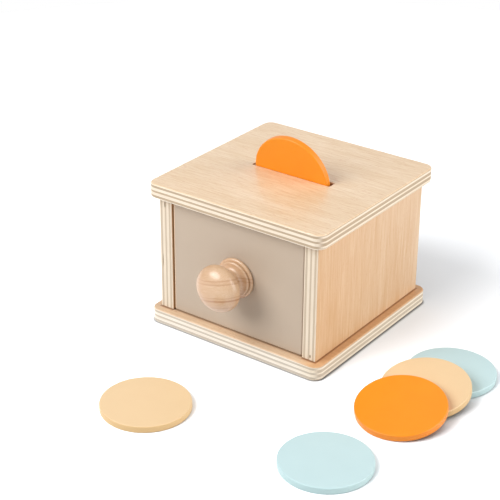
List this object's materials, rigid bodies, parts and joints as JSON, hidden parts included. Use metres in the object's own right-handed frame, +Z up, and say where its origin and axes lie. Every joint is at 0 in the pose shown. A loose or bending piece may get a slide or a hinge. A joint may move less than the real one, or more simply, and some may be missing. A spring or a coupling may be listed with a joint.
{
  "type": "object permanence box",
  "caption": "Wooden coin box: a coin drops through the lid's slot into a drawer that slides out by a turned knob; loose coins lie beside it.",
  "frame": {"origin": "middle of the base panel's underside", "axes": "+Z up, +X to the right along the drawer's front, the drawer opens towards -Y"},
  "size_m": [0.2006, 0.2203, 0.1139],
  "materials": {
    "panel_ply": "clear satin varnish on birch plywood",
    "wall_ply": "clear satin varnish on birch plywood",
    "drawer_ply": "plain sanded thin plywood",
    "dowel_wood": "plain hardwood dowel",
    "front_paint": "matt taupe paint on plywood",
    "knob_beech": "clear satin varnish on turned beech",
    "orange_paint": "satin orange paint on wood",
    "peach_paint": "satin peach paint on wood",
    "blue_paint": "satin pale blue paint on wood",
    "zinc_steel": "bright zinc plate"
  },
  "bodies": {
    "carcass": {"lid_panel": "panel_ply", "base_panel": "panel_ply", "left_side_panel": "wall_ply", "right_side_panel": "wall_ply", "back_panel": "wall_ply", "lid_dowels": "dowel_wood", "base_screws": "zinc_steel"},
    "drawer": {"drawer_front": "front_paint", "drawer_left_wall": "drawer_ply", "drawer_right_wall": "drawer_ply", "drawer_back_wall": "drawer_ply", "drawer_floor": "drawer_ply", "drawer_front_dowels": "dowel_wood", "drawer_back_dowels": "dowel_wood", "drawer_knob": "knob_beech", "knob_screw": "zinc_steel", "knob_washer": "zinc_steel"},
    "coin_in_slot": {"slot_coin": "orange_paint"},
    "peach_coin_on_floor": {"floor_peach_coin": "peach_paint"},
    "blue_coin_on_floor": {"floor_blue_coin": "blue_paint"},
    "blue_coin_in_stack": {"stack_blue_coin": "blue_paint"},
    "peach_coin_in_stack": {"stack_peach_coin": "peach_paint"},
    "orange_coin_in_stack": {"stack_orange_coin": "orange_paint"}
  },
  "joints": [
    {"name": "drawer_slide", "type": "slide", "parent": "carcass", "child": "drawer", "axis": [0, -1, 0], "range_m": [0, 0.1]},
    {"name": "slot_coin_drop", "type": "slide", "parent": "carcass", "child": "coin_in_slot", "axis": [0, -0.165, 0.9863], "range_m": [-0.05, 0.03]},
    {"name": "floor_peach_coin_push", "type": "slide", "parent": "carcass", "child": "peach_coin_on_floor", "axis": [0, -1, 0], "range_m": [0, 0.06]},
    {"name": "floor_blue_coin_lift", "type": "slide", "parent": "carcass", "child": "blue_coin_on_floor", "axis": [0, 0, 1], "range_m": [0, 0.03]},
    {"name": "stack_blue_coin_lift", "type": "slide", "parent": "carcass", "child": "blue_coin_in_stack", "axis": [0, 0, 1], "range_m": [0, 0.03]},
    {"name": "stack_peach_coin_lift", "type": "slide", "parent": "blue_coin_in_stack", "child": "peach_coin_in_stack", "axis": [0, 0, 1], "range_m": [0, 0.03]},
    {"name": "stack_orange_coin_lift", "type": "slide", "parent": "peach_coin_in_stack", "child": "orange_coin_in_stack", "axis": [0, 0, 1], "range_m": [0, 0.03]}
  ]
}
